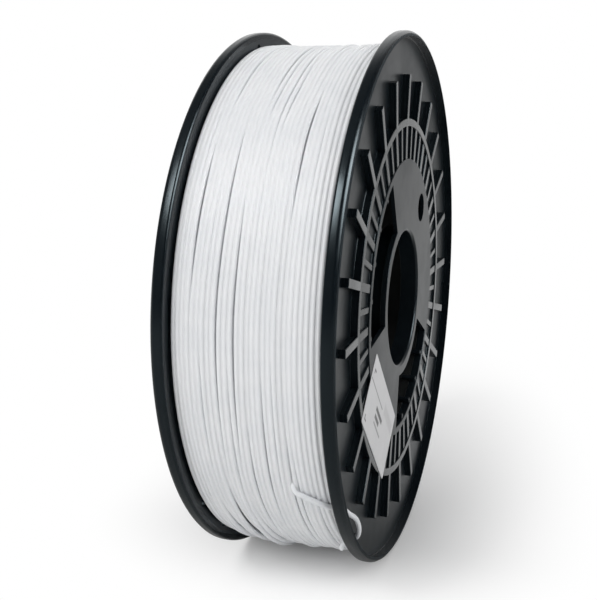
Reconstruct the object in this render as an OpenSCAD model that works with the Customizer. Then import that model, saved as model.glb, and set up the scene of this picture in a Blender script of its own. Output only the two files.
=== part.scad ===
// Filament spool: two identical ribbed flanges on a core tube, wound full of filament.
// Millimetres. X is the spool's axis, Z is up, and the origin is the middle of the bore.
// An angle round the axis starts at +Y and rises towards +Z.

/* [Flanges] */
// Outer diameter of both flanges
flange_d = 200; // [196:1:210]
// Clear width between the flanges, which the filament fills
winding_w = 51; // [45:0.5:60]
// Thickness of the flange plate outside the middle ring
plate_t = 1.3; // [1:0.1:2]
// Height of the rim, from the flange's inner face to its lip
rim_h = 4.5; // [4:0.1:6]
// Thickness of the rim's lip
rim_t = 2; // [1.6:0.1:3]
// Rounding of the lip's two corners
lip_r = 0.5; // [0.2:0.05:0.7]
// Rounding of the rim's corner beside the filament
rim_edge_r = 1; // [0.4:0.1:1.3]
// Fillet between the plate and the lip
lip_fillet_r = 0.5; // [0.3:0.1:1.5]

/* [Rings and ribs] */
// Height of the hub's rings and the middle ring above the inner face
face_h = 3.1; // [2.9:0.1:3.6]
// Outer diameter of the middle ring
mid_ring_d = 136.8; // [130:0.2:142]
// Width of the middle ring
mid_ring_t = 2.8; // [2:0.1:4]
// Outer diameter of the hub ring
hub_ring_d = 106.8; // [106:0.2:112]
// Width of the hub ring
hub_ring_t = 2.5; // [2:0.1:3]
// Thickness of the plate between the hub ring and the middle ring
inner_plate_t = 2.1; // [1.6:0.1:2.4]
// Number of long ribs; as many short ones stand between them
rib_count = 24; // [16:1:28]
// Thickness of a long rib
rib_t = 3; // [2:0.1:3.4]
// Thickness of a short rib
short_rib_t = 2.1; // [1.5:0.1:2.6]
// Height of the ribs between the hub ring and the middle ring
inner_rib_h = 2.85; // [2.6:0.05:3.1]
// Distance of the long ribs' free ends in from the flange's edge
rib_end_inset = 15.5; // [12:0.5:20]
// How much a long rib's free end stands above the middle ring
rib_rise = 0.6; // [0:0.1:0.8]
// How much lower than the middle ring a long rib is at its root
rib_root_drop = 0.1; // [0.05:0.05:0.4]

/* [Hub] */
// Bore that turns on a holder
bore_d = 52; // [50:0.5:56]
// Rounding of the bore's outer edge
bore_edge_r = 1; // [0.4:0.1:1.2]
// Width of the ring round the bore
bore_ring_t = 4.4; // [3:0.1:6]
// Thickness of the ring round the bore
bore_ring_h = 2; // [1.6:0.1:2.6]
// Thickness of the collar inside the bore ring
collar_t = 2; // [1.5:0.1:3]
// Reach of the collar past the inner face, into the core tube
collar_reach = 4; // [2:0.5:10]
// Thickness of the hub plate
hub_plate_t = 1.4; // [1:0.1:2]
// Drop of the hub plate's face below the rings on both sides of it
hub_drop = 0.1; // [0.05:0.05:0.3]
// Angle that one hub window spans
window_span = 72; // [50:1:72]
// Angle of the first window's middle
window_a_mid = 152; // [140:1:160]
// Angle of the second window's middle
window_b_mid = 296; // [290:1:300]
// Diameter of the driver hole
driver_d = 11.4; // [6:0.2:11.6]
// Distance of the driver hole from the axis
driver_r = 42.8; // [38:0.1:43]
// Angle of the driver hole
driver_angle = 48; // [35:1:70]
// Turn of the left flange about the axis, which lines its windows up with the right one's
left_turn = 270; // [0:15:345]

/* [Locating nibs] */
// Width of a nib
nib_w = 1.6; // [1:0.1:2.4]
// Distance that a nib stands in from the core tube's bore
nib_t = 1.6; // [1:0.1:2.4]
// Reach of the nibs into the core tube
nib_reach = 3; // [2:0.5:6]
// Drop of a nib's top below the face of the hub
nib_drop = 0.3; // [0.1:0.1:1]
// Turn of the nibs against the ribs
nib_turn = 4.8; // [0:0.1:7.5]

/* [Threading holes] */
// Diameter of the holes that the filament's end is threaded through
thread_d = 3; // [2.4:0.1:3.4]
// Distance of the holes in from the flange's edge
thread_inset = 5.2; // [4.4:0.1:7]
// Angle of the hole that the filament leaves by
thread_a = 215; // [208:1:218]
// Angle of the hole that it comes back by
thread_b = 229; // [226:1:236]
// Angle of a third hole, for the end of a part-used spool
thread_c = 352; // [330:1:358]

/* [Core tube] */
// Outer diameter of the core tube, on which the filament is wound
core_d = 105; // [100:0.5:105]
// Wall of the core tube
core_wall = 2; // [1.5:0.1:3]
// Clearance between the nibs and the core tube
core_fit = 0.1; // [0.05:0.05:0.3]

/* [Filament] */
// Diameter of the filament
filament_d = 1.75; // [1.5:0.05:2]
// Distance of the outer layer in from the flange's edge
wound_inset = 3.8; // [3.7:0.1:6]
// How much lower the outer layer lies at the flanges
end_drop = 4.5; // [0:0.1:5]
// Width over which the outer layer falls to each flange
shoulder_w = 7; // [5:0.5:12]
// How far the loose outer layer hangs down below the axis
slack = 1.2; // [0:0.1:1.5]
// Clearance between the filament and what it lies against
filament_fit = 0.1; // [0.05:0.05:0.3]
// Most turns that the outer layer is drawn with
most_turns = 24; // [6:1:24]
// Least gap between two turns
turn_gap = 0.45; // [0.42:0.01:0.6]

/* [Label] */
// Long side of the label
label_w = 46; // [30:1:56]
// Short side of the label
label_h = 27; // [20:1:30]
// Thickness of the label
label_t = 0.15; // [0.1:0.05:0.3]
// Rounding of the label's corners
label_r = 1; // [0.5:0.1:3]
// Distance of the label's middle from the axis
label_reach = 51.9; // [48:0.1:54]
// Angle of the label's middle
label_angle = 225; // [222:1:228]
// Tilt of the label against the line round the axis
label_tilt = -2; // [-4:0.5:4]

/* [Hidden] */
$fn = 96;
// overlap of joined shapes and overrun of cuts
lap = 0.2;
flange_r = flange_d / 2;
lip_in_r = flange_r - rim_t;
mid_ring_r = mid_ring_d / 2;
hub_ring_r = hub_ring_d / 2;
hub_in_r = hub_ring_r - hub_ring_t;
bore_r = bore_d / 2;
bore_ring_r = bore_r + bore_ring_t;
rib_end_r = flange_r - rib_end_inset;
core_r = core_d / 2;
core_in_r = core_r - core_wall;
nib_out_r = core_in_r - core_fit;
thread_r = flange_r - thread_inset;
rib_step = 360 / rib_count;
flange_x = winding_w / 2;
face_x = flange_x + face_h;

// outer layer: rings in a turn, sides of the tube, and the path of its turns
turn_rings = 24;
turn_sides = 6;
turn_half_w = filament_d / 2 * cos(180 / turn_sides);
turn_travel = winding_w - 2 * filament_fit - 2 * turn_half_w;
turns = min(most_turns, floor(turn_travel / (2 * turn_half_w + turn_gap)));
turn_pitch = turn_travel / turns;
// radius of a turn's path at x, which falls along a parabola in both shoulders
function turn_r(x) = flange_r - wound_inset - filament_d / 2
    - end_drop * pow(max(0, 1 - (flange_x - abs(x)) / shoulder_w), 2);

// section of the inner layers: steps in a shoulder, and their radius at x, which stays clear of
// the shoulder's slope, of the slack and of the turns' chords, which dip between two rings
shoulder_steps = 4;
function pack_r(x) = turn_r(min(abs(x) + filament_d / 2, flange_x)) * cos(180 / turn_rings)
    - slack - filament_d / 2 - filament_fit;

// tail: sides of its tube, and spline steps between two points of its route
tail_sides = 8;
tail_steps = 3;
// its route as [x, distance from the axis, angle], with insets, lifts, outs and drops in filament
// diameters: a point on the turns, an inset from the flange and a turn short of the first hole
function over_turns(inset, lift, turn) = let (x = flange_x - inset * filament_d, a = thread_a - turn)
    [x, turn_r(x) - slack * sin(a) + (1 + lift) * filament_d + filament_fit, a];
// a point near a hole, out from a face of the plate and dropped from the hole towards the axis
function by_hole(x, out, drop, a) = [x + out * filament_d, thread_r - drop * filament_d, a];
plate_x = flange_x + plate_t;
// over the turns, out by one threading hole, along the plate and back by the other to its cut end
tail_route = [
    over_turns(8.1, 0, 11.5),
    over_turns(8, 0, 9.5),
    over_turns(7.5, 0, 7.8),
    over_turns(5.95, 0, 6.7),
    over_turns(4.2, 0, 5.7),
    over_turns(2.5, 0.17, 4.3),
    over_turns(1.4, 0.34, 2.2),
    by_hole(flange_x, -0.57, -0.17, thread_a - 0.4),
    by_hole(flange_x, 0, 0, thread_a),
    by_hole(plate_x, 0.23, 0, thread_a),
    by_hole(plate_x, 0.86, 0.29, thread_a + 1.2),
    by_hole(plate_x, 1.03, 1.09, thread_a + 4),
    by_hole(plate_x, 0.97, 1.54, (thread_a + thread_b) / 2),
    by_hole(plate_x, 0.97, 1.2, thread_b - 3.4),
    by_hole(plate_x, 0.8, 0.4, thread_b - 1.1),
    by_hole(plate_x, 0.17, 0, thread_b),
    by_hole(flange_x, -0.4, 0, thread_b),
    by_hole(flange_x, -1.09, -0.91, thread_b + 0.5),
    by_hole(flange_x, -1.6, -1.66, thread_b + 1.2),
    [flange_x - 1.94 * filament_d, flange_r - 0.75 * filament_d, thread_b + 2],
];

// ---- helpers

// a point at distance r and angle a round the spool's axis
function around(x, r, a) = [x, r * cos(a), r * sin(a)];

function unit(v) = v / norm(v);

// Catmull-Rom spline through p, with n steps between two points
function spline(p, n) = let (last = len(p) - 1) concat(
    [for (i = [0 : last - 1], s = [0 : n - 1])
        let (a = p[max(i - 1, 0)], b = p[i], c = p[i + 1], d = p[min(i + 2, last)], t = s / n)
        (2 * b + (c - a) * t + (2 * a - 5 * b + 4 * c - d) * pow(t, 2)
            + (3 * b - a - 3 * c + d) * pow(t, 3)) / 2],
    [p[last]]);

// direction of the path p at its point i
function heading(p, i) = unit(p[min(i + 1, len(p) - 1)] - p[max(i - 1, 0)]);

// the part of v that is square to t, as a unit vector
function square_to(v, t) = unit(v - t * (v * t));

// side vectors along p without twist, each from the one before it
function sides_along(p, start) = [
    for (i = 0, s = square_to(start, heading(p, 0)); i < len(p);
        i = i + 1, s = i < len(p) ? square_to(s, heading(p, i)) : s) s];

// points of the ring of radius r at point i of the path p, from its side vector
function ring_points(p, side, i, r, sides) = let (t = heading(p, i), u = square_to(side[i], t))
    [for (k = [0 : sides - 1])
        p[i] + r * (u * cos(360 * k / sides) + cross(t, u) * sin(360 * k / sides))];

// tube of radius r along p, closed by flat ends
module tube(p, side, r, sides) {
    points = [for (i = [0 : len(p) - 1]) each ring_points(p, side, i, r, sides)];
    walls = [for (i = [0 : len(p) - 2], k = [0 : sides - 1])
        let (a = i * sides + k, b = i * sides + (k + 1) % sides, c = a + sides, d = b + sides)
        each [[a, c, b], [b, c, d]]];
    first_end = [for (k = [1 : sides - 2]) [0, k, k + 1]];
    base = (len(p) - 1) * sides;
    last_end = [for (k = [1 : sides - 2]) [base, base + k + 1, base + k]];
    polyhedron(points, concat(walls, first_end, last_end), convexity = 10);
}

// stands a shape that is drawn flat with its outer face up on the spool's right end
module on_axis() {
    rotate([90, 0, 90]) children();
}

// 2D piece cut away to round a corner at the origin; into points from the corner into the solid
module rounding(r, into) {
    difference() {
        translate([for (side = into) min(0, side * r) - (side > 0 ? lap : 0)]) square(r + lap);
        translate(r * into) circle(r);
    }
}

// ring between two radii, from z0 to z1
module ring(inner_r, outer_r, z0, z1) {
    rotate_extrude()
        translate([inner_r, z0]) square([outer_r - inner_r, z1 - z0]);
}

// ---- flange, drawn with its inner face at z = 0 and its outer face up

// section of the rim, with the plate's outer edge and the fillet between them
module rim_section() {
    difference() {
        union() {
            translate([lip_in_r, 0]) square([rim_t, rim_h]);
            translate([mid_ring_r - lap, 0]) square([lip_in_r - mid_ring_r + 2 * lap, plate_t]);
            translate([lip_in_r, plate_t]) lip_fillet();
        }
        translate([flange_r, rim_h]) rounding(lip_r, [-1, -1]);
        translate([lip_in_r, rim_h]) rounding(lip_r, [1, -1]);
        translate([flange_r, 0]) rounding(rim_edge_r, [-1, 1]);
    }
}

// fillet in the corner of the plate and the lip
module lip_fillet() {
    difference() {
        translate([-lip_fillet_r, -lap]) square([lip_fillet_r + lap, lip_fillet_r + lap]);
        translate([-lip_fillet_r, lip_fillet_r]) circle(lip_fillet_r);
    }
}

// bore ring with its collar, rounded at the outer edge of the bore
module bore_section() {
    difference() {
        union() {
            translate([bore_r, face_h - bore_ring_h]) square([bore_ring_t, bore_ring_h]);
            translate([bore_r, -collar_reach]) square([collar_t, face_h + collar_reach]);
        }
        translate([bore_r, face_h]) rounding(bore_edge_r, [1, -1]);
    }
}

// the part of the hub plate that lies between two windows, given the angles of their middles
module hub_sector(window_mid, next_mid) {
    rotate([0, 0, window_mid + window_span / 2])
        rotate_extrude(angle = next_mid - window_mid - window_span)
            translate([bore_ring_r - lap, face_h - hub_drop - hub_plate_t])
                square([hub_in_r - bore_ring_r + 2 * lap, hub_plate_t]);
}

// one long rib, rising from the middle of the middle ring to its free end
module long_rib() {
    root = mid_ring_r - mid_ring_t / 2;
    rotate([90, 0, 0]) translate([0, 0, -rib_t / 2]) linear_extrude(rib_t)
        polygon([
            [root, plate_t - lap],
            [rib_end_r, plate_t - lap],
            [rib_end_r, face_h + rib_rise],
            [root, face_h - rib_root_drop],
        ]);
}

// one rib between the hub ring and the middle ring
module inner_rib(thickness) {
    reach = mid_ring_r - mid_ring_t - hub_ring_r + 2 * lap;
    translate([hub_ring_r - lap, -thickness / 2, inner_plate_t - lap])
        cube([reach, thickness, inner_rib_h - inner_plate_t + lap]);
}

// one nib, joined to the hub ring and reaching into the core tube
module nib() {
    in_r = nib_out_r - nib_t;
    translate([in_r, -nib_w / 2, -nib_reach])
        cube([nib_t, nib_w, nib_reach + face_h - nib_drop]);
    translate([in_r, -nib_w / 2, 0])
        cube([hub_in_r - in_r + lap, nib_w, face_h - nib_drop]);
}

module flange() {
    difference() {
        union() {
            rotate_extrude() rim_section();
            ring(hub_ring_r - lap, mid_ring_r, 0, inner_plate_t);
            ring(mid_ring_r - mid_ring_t, mid_ring_r, 0, face_h);
            ring(hub_in_r, hub_ring_r, 0, face_h);
            hub_sector(window_a_mid, window_b_mid);
            hub_sector(window_b_mid, window_a_mid + 360);
            rotate_extrude() bore_section();
            for (i = [0 : rib_count - 1]) rotate([0, 0, i * rib_step]) {
                long_rib();
                inner_rib(rib_t);
                rotate([0, 0, rib_step / 2]) inner_rib(short_rib_t);
                rotate([0, 0, nib_turn]) nib();
            }
        }
        rotate([0, 0, driver_angle]) translate([driver_r, 0, -nib_reach - lap])
            cylinder(d = driver_d, h = nib_reach + face_h + 2 * lap);
        for (a = [thread_a, thread_b, thread_c]) rotate([0, 0, a])
            translate([thread_r, 0, -lap]) cylinder(d = thread_d, h = rim_h);
    }
}

// ---- nodes

module flange_right() {
    color("#232426") translate([flange_x, 0, 0]) on_axis() flange();
}

// the same moulding turned round, at the other end
module flange_left() {
    color("#232426") rotate([left_turn, 0, 0]) rotate([0, 0, 180])
        translate([flange_x, 0, 0]) on_axis() flange();
}

module core_tube() {
    color("#2b2c2e") translate([-flange_x, 0, 0]) on_axis() ring(core_in_r, core_r, 0, winding_w);
}

// the layers under the outer one, as one plain ring with a shoulder at both ends
module filament_pack() {
    end_x = flange_x - filament_fit;
    shoulder = [for (i = [0 : shoulder_steps]) end_x - i / shoulder_steps * shoulder_w];
    color("#dcdcda") on_axis() rotate_extrude() polygon(concat(
        [[core_r + filament_fit, -end_x], [core_r + filament_fit, end_x]],
        [for (x = shoulder) [pack_r(x), x]],
        [for (i = [shoulder_steps : -1 : 0]) [pack_r(shoulder[i]), -shoulder[i]]]));
}

// the outer layer as one tube from flange to flange
turn_angles = [for (i = [0 : turns * turn_rings]) 360 * i / turn_rings];
turn_path = [for (a = turn_angles) let (x = turn_pitch * a / 360 - turn_travel / 2)
    around(x, turn_r(x), a) - [0, 0, slack]];
turn_side = [for (a = turn_angles) around(0, 1, a)];
// least distance between the points of the tube's rings that lie one turn apart
turn_least_gap = min([for (i = [0 : len(turn_path) - 1 - turn_rings])
    for (a = ring_points(turn_path, turn_side, i, filament_d / 2, turn_sides),
        b = ring_points(turn_path, turn_side, i + turn_rings, filament_d / 2, turn_sides))
        norm(a - b)]);
echo(turns = turns, turn_least_gap = turn_least_gap);

module filament_winding() {
    color("#ececea") tube(turn_path, turn_side, filament_d / 2, turn_sides);
}

tail_path = spline([for (q = tail_route) around(q[0], q[1], q[2])], tail_steps);

module filament_tail() {
    color("#f2f2f0") tube(tail_path, sides_along(tail_path, [1, 0, 0]), filament_d / 2, tail_sides);
}

module label() {
    color("#f4f3f0") translate([face_x, 0, 0]) on_axis()
        rotate([0, 0, label_angle]) translate([label_reach, 0, 0]) rotate([0, 0, label_tilt])
            linear_extrude(label_t) label_outline();
}

// rectangle with rounded corners, its long side across the radius
module label_outline() {
    difference() {
        square([label_h, label_w], center = true);
        for (sx = [-1, 1], sy = [-1, 1])
            translate([sx * label_h / 2, sy * label_w / 2]) rounding(label_r, [-sx, -sy]);
    }
}

flange_right();
flange_left();
core_tube();
filament_pack();
filament_winding();
filament_tail();
label();
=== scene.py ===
"""Looks of a filament spool: two black ribbed flanges on a core tube, wound full of white filament.

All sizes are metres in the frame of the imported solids. X is the spool's axis, Z is up and the origin is
the middle of the bore. An angle round the axis starts at +Y and rises towards +Z.
"""

from __future__ import annotations

import logging
import math
from dataclasses import dataclass
from enum import Enum

import bmesh
import bpy
import numpy as np
from mathutils import Matrix, Vector


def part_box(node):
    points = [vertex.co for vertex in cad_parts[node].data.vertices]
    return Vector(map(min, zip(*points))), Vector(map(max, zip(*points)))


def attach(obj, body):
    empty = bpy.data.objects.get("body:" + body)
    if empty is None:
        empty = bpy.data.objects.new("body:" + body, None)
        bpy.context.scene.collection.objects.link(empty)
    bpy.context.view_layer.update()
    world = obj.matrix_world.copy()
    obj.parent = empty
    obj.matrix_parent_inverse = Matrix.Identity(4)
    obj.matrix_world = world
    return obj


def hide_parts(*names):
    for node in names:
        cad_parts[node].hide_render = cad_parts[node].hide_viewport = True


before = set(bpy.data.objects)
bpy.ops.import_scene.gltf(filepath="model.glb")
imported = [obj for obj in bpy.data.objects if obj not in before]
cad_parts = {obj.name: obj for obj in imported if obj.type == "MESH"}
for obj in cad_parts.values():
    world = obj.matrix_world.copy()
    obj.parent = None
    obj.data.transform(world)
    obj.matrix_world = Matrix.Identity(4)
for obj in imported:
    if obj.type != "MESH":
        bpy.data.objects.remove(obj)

LOG = logging.getLogger("spool")
MM = 0.001
BODY = "root"
MAP = "Surface"
WHITE = (1.0, 1.0, 1.0)
SHARP = math.radians(38)

Grid = np.ndarray
Shape = tuple[np.ndarray, list[list[int]]]
Colour = tuple[float, float, float]
Triple = tuple[float, float, float]
Span = tuple[float, float]
Socket = bpy.types.NodeSocket


class Slot(str, Enum):
    """Material slots of the record."""

    SPOOL = "spool_plastic"
    CORE = "core_plastic"
    FILAMENT = "filament"
    LABEL = "label_paper"


# ---- meshes


def mesh_object(name: str, shape: Shape, uv: np.ndarray | None = None) -> bpy.types.Object:
    """Makes a smooth mesh object and links it to the scene.

    Args:
        name: Name of the object and of its mesh.
        shape: Points, one row each, and faces as lists of their numbers, turning left round the normal.
        uv: Place of each point on the UV map, one row each, or None for no map.

    Returns:
        The object, at the origin.
    """
    points, faces = shape
    mesh = bpy.data.meshes.new(name)
    mesh.from_pydata(points.tolist(), [], faces, shade_flat=False)
    if uv is not None:
        corner = np.empty(len(mesh.loops), np.int64)
        mesh.loops.foreach_get("vertex_index", corner)
        mesh.uv_layers.new(name=MAP).data.foreach_set("uv", uv[corner].astype(np.float32).ravel())
    mesh.validate()
    obj = bpy.data.objects.new(name, mesh)
    bpy.context.scene.collection.objects.link(obj)
    return obj


def grid_faces(rows: int, columns: int, joined: bool) -> list[list[int]]:
    """Quads between the points of a grid whose columns close round.

    Args:
        rows: Number of rows.
        columns: Number of columns.
        joined: True if the last row joins the first.

    Returns:
        The quads as lists of four point numbers.
    """
    row, column = np.meshgrid(np.arange(rows if joined else rows - 1), np.arange(columns), indexing="ij")
    here, after = row * columns, (row + 1) % rows * columns
    beside = (column + 1) % columns
    corners = (here + column, after + column, after + beside, here + beside)
    return np.stack(corners, -1).reshape(-1, 4).tolist()


def closed_tube(rings: Grid, joined: bool = False) -> Shape:
    """Tube from ring to ring, which joins up with its start or has a flat face at both ends.

    Args:
        rings: Points as rings, sides and coordinates.
        joined: True if the last ring joins the first.

    Returns:
        The tube.
    """
    count, sides = rings.shape[:2]
    faces = grid_faces(count, sides, joined)
    if not joined:
        faces.append(list(range(sides)))
        faces.append(list(range(count * sides - 1, (count - 1) * sides - 1, -1)))
    return rings.reshape(-1, 3), faces


def circles(line: Grid, axes: tuple[Grid, Grid], radius: np.ndarray | float, sides: int) -> Grid:
    """Circle carried along a line: point + r (first axis cos b + second axis sin b).

    Args:
        line: Points of the line, one row each.
        axes: First and second axis of the circle at each point, or one row for all points.
        radius: Radius at each point, or one for all.
        sides: Points of the circle.

    Returns:
        Points as rings, sides and coordinates.
    """
    first, second = (axis[:, None, :] for axis in axes)
    b = (2 * math.pi * np.arange(sides) / sides)[None, :, None]
    return line[:, None, :] + np.asarray(radius)[..., None, None] * (first * np.cos(b) + second * np.sin(b))


def merged(parts: list[Shape]) -> Shape:
    """Joins several closed shapes into one list of points and one of faces.

    Args:
        parts: The shapes.

    Returns:
        One shape that holds them all.
    """
    points: list[np.ndarray] = []
    faces: list[list[int]] = []
    start = 0
    for part, its_faces in parts:
        points.append(part)
        faces += [[start + corner for corner in face] for face in its_faces]
        start += len(part)
    return np.vstack(points), faces


def rounded(corners: np.ndarray, radii: np.ndarray, steps: int) -> np.ndarray:
    """Outline whose corners are rounded by arcs.

    At a corner the arc leaves both sides at r / tan(half the corner's angle) and its centre lies on the
    angle's bisector.

    Args:
        corners: Corners of the outline, one row each.
        radii: Radius of each corner.
        steps: Steps of each arc.

    Returns:
        The outline's points.
    """
    before = unit(np.roll(corners, 1, 0) - corners)
    after = unit(np.roll(corners, -1, 0) - corners)
    half = np.arccos((before * after).sum(-1)) / 2
    reach = (radii / np.tan(half))[:, None]
    middle = corners + unit(before + after) * (radii / np.sin(half))[:, None]
    start = corners + before * reach - middle
    end = corners + after * reach - middle
    share = np.linspace(0, 1, steps + 1)[None, :, None]
    spoke = unit(start[:, None] * (1 - share) + end[:, None] * share)
    return (middle[:, None] + spoke * radii[:, None, None]).reshape(-1, 2)


def rounded_block(low: np.ndarray, high: np.ndarray, radius: float, rise: float) -> Shape:
    """Block whose edges are all rounded, and whose top may slope along its first side.

    A corner lies at low + share (high - low), with a share of 0 or 1 of each side.

    Args:
        low: Lowest corner.
        high: Highest corner, at the start of the slope.
        radius: Rounding of the edges.
        rise: How much higher the top is at the end of its first side.

    Returns:
        The block.
    """
    square = np.array([[0, 0], [1, 0], [1, 1], [0, 1]])
    share = np.stack([np.insert(square, 2, level, axis=1) for level in (1, 0)])
    corners = low + share * (high - low)
    corners[..., 2] += share[..., 0] * share[..., 2] * rise
    points, faces = closed_tube(corners)
    mesh = bpy.data.meshes.new("block")
    mesh.from_pydata(points.tolist(), [], faces)
    block = bmesh.new()
    block.from_mesh(mesh)
    bmesh.ops.bevel(block, geom=block.edges[:], offset=radius, segments=3, profile=0.5, affect="EDGES")
    block.to_mesh(mesh)
    block.free()
    places = np.empty(3 * len(mesh.vertices))
    mesh.vertices.foreach_get("co", places)
    faces = [list(face.vertices) for face in mesh.polygons]
    bpy.data.meshes.remove(mesh)
    return places.reshape(-1, 3), faces


def turned(shape: Shape, degrees: float) -> Shape:
    """Turns a shape round the third axis.

    Args:
        shape: The shape.
        degrees: How far it turns, to the left.

    Returns:
        The turned shape.
    """
    points, faces = shape
    c, s = math.cos(math.radians(degrees)), math.sin(math.radians(degrees))
    return points @ np.array([[c, s, 0], [-s, c, 0], [0, 0, 1]]), faces


def cut_away(obj: bpy.types.Object, cutter: bpy.types.Object) -> None:
    """Takes the cutter's volume out of an object and removes the cutter.

    Args:
        obj: The object, which keeps its name and gets a new mesh.
        cutter: The object to cut with.
    """
    boolean = obj.modifiers.new("holes", "BOOLEAN")
    boolean.operation = "DIFFERENCE"
    boolean.solver = "EXACT"
    boolean.object = cutter
    view = bpy.context.evaluated_depsgraph_get()
    solid = bpy.data.meshes.new_from_object(obj.evaluated_get(view))
    obj.modifiers.clear()
    plain = obj.data
    obj.data = solid
    solid.name = obj.name
    bpy.data.meshes.remove(plain)
    bpy.data.objects.remove(cutter)


def crease(obj: bpy.types.Object) -> None:
    """Shades faces smoothly except over sharp edges, and keeps flat faces flat beside rounded ones.

    Args:
        obj: The object.
    """
    obj.data.set_sharp_from_angle(angle=SHARP)
    weighted = obj.modifiers.new("normals", "WEIGHTED_NORMAL")
    weighted.keep_sharp = True
    weighted.weight = 60


def unit(vectors: np.ndarray) -> np.ndarray:
    """Each vector divided by its length."""
    return vectors / np.linalg.norm(vectors, axis=-1, keepdims=True)


def around(x: np.ndarray, radius: np.ndarray, angle: np.ndarray) -> np.ndarray:
    """Points at a place along the axis, a distance from it and an angle in radians: x, r cos a, r sin a."""
    return np.stack(np.broadcast_arrays(x, radius * np.cos(angle), radius * np.sin(angle)), -1)


def spline(points: np.ndarray, steps: int) -> np.ndarray:
    """Catmull-Rom curve through the points.

    Each stretch from b to c, with a before and d after, is
    (2b + (c - a) t + (2a - 5b + 4c - d) t² + (3b - a - 3c + d) t³) / 2.

    Args:
        points: Points of the route, one row each.
        steps: Steps between two points.

    Returns:
        The curve's points, ending at the last point.
    """
    padded = np.vstack([points[:1], points, points[-1:]])
    a, b, c, d = (padded[i : len(padded) - 3 + i, None, :] for i in range(4))
    t = (np.arange(steps) / steps)[None, :, None]
    curve = (2 * b + (c - a) * t + (2 * a - 5 * b + 4 * c - d) * t**2 + (3 * b - a - 3 * c + d) * t**3) / 2
    return np.vstack([curve.reshape(-1, 3), points[-1:]])


def waves(places: np.ndarray, seed: int, rates: Span, count: int = 7) -> np.ndarray:
    """Smooth noise along a line: a sum of sines with random rates and phases, whose spread is about 1.

    Args:
        places: Places along the line.
        seed: Seed of the random numbers.
        rates: Lowest and highest rate, in waves per unit of place.
        count: Number of sines.

    Returns:
        The noise at each place.
    """
    rng = np.random.default_rng(seed)
    rate = rng.uniform(*rates, count)
    phase = rng.uniform(0, 2 * math.pi, count)
    return np.sin(2 * math.pi * rate * places[..., None] + phase).sum(-1) * math.sqrt(2 / count)


# ---- finishes


@dataclass(frozen=True)
class Graph:
    """Node tree with short calls to add and join nodes."""

    tree: bpy.types.NodeTree

    @classmethod
    def bare(cls, owner: bpy.types.Material | bpy.types.World) -> Graph:
        """Empties the node tree of a material or world.

        Args:
            owner: The material or world.

        Returns:
            Its tree.
        """
        owner.use_nodes = True
        owner.node_tree.nodes.clear()
        return cls(owner.node_tree)

    def add(self, kind: str, **values: object) -> bpy.types.Node:
        """Adds a node.

        Args:
            kind: The node's type.
            values: Settings by name, and inputs by name with a leading in_ and _ for a space.

        Returns:
            The node.
        """
        node = self.tree.nodes.new(kind)
        for name, value in values.items():
            if name.startswith("in_"):
                self.feed(value, node.inputs[name[3:].replace("_", " ")])
            else:
                setattr(node, name, value)
        return node

    def join(self, source: Socket, target: Socket) -> None:
        """Links an output to an input."""
        self.tree.links.new(source, target)

    def feed(self, source: object, target: Socket) -> None:
        """Links an output to an input, or sets the input to a plain value.

        Args:
            source: The output or the value.
            target: The input.
        """
        if isinstance(source, Socket):
            self.join(source, target)
        else:
            target.default_value = source

    def remap(self, value: Socket, span: Span, low: float, high: float) -> Socket:
        """Maps a value to another range by a smooth step, held at the ends.

        Args:
            value: The value.
            span: Start and end of its range.
            low: Result at the start.
            high: Result at the end.

        Returns:
            The result.
        """
        node = self.add("ShaderNodeMapRange", interpolation_type="SMOOTHSTEP", in_Value=value,
                        in_From_Min=span[0], in_From_Max=span[1], in_To_Min=low, in_To_Max=high)
        return node.outputs["Result"]

    def maths(self, operation: str, first: Socket, second: Socket | float = 0.0) -> Socket:
        """Result of a Math node.

        Args:
            operation: What the node does.
            first: First value.
            second: Second value.

        Returns:
            The result.
        """
        node = self.add("ShaderNodeMath", operation=operation)
        self.feed(first, node.inputs[0])
        self.feed(second, node.inputs[1])
        return node.outputs[0]

    def vectors(self, operation: str, first: Socket, second: Socket | Triple = (0, 0, 0)) -> Socket:
        """Result of a Vector Math node.

        Args:
            operation: What the node does.
            first: First vector.
            second: Second vector.

        Returns:
            The resulting vector, or the number where the result is a length or a product.
        """
        node = self.add("ShaderNodeVectorMath", operation=operation)
        self.feed(first, node.inputs[0])
        self.feed(second, node.inputs[1])
        return node.outputs["Value" if operation in ("LENGTH", "DOT_PRODUCT") else "Vector"]

    def parts(self, vector: Socket) -> bpy.types.NodeOutputs:
        """X, Y and Z of a vector."""
        return self.add("ShaderNodeSeparateXYZ", in_Vector=vector).outputs

    def blend(self, factor: Socket, first: Colour, second: Colour) -> Socket:
        """Colour between two.

        Args:
            factor: 0 for the first, 1 for the second.
            first: First colour.
            second: Second colour.

        Returns:
            The colour.
        """
        node = self.add("ShaderNodeMix", data_type="RGBA")
        for place, value in ((0, factor), (6, (*first, 1)), (7, (*second, 1))):
            self.feed(value, node.inputs[place])
        return node.outputs[2]

    def emboss(self, height: Socket, distance: float, shader: bpy.types.Node) -> None:
        """Raises a shader's surface.

        Args:
            height: Height from 0 to 1.
            distance: How high 1 is, in metres.
            shader: The shader.
        """
        bump = self.add("ShaderNodeBump", in_Strength=1.0, in_Distance=distance, in_Height=height)
        self.join(bump.outputs["Normal"], shader.inputs["Normal"])


def new_material(name: str) -> tuple[bpy.types.Material, Graph, bpy.types.Node]:
    """Material with a Principled shader.

    Args:
        name: The material's name.

    Returns:
        The material, its graph and its Principled node.
    """
    material = bpy.data.materials.new(name)
    material.use_nodes = True
    graph = Graph(material.node_tree)
    return material, graph, material.node_tree.nodes["Principled BSDF"]


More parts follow.
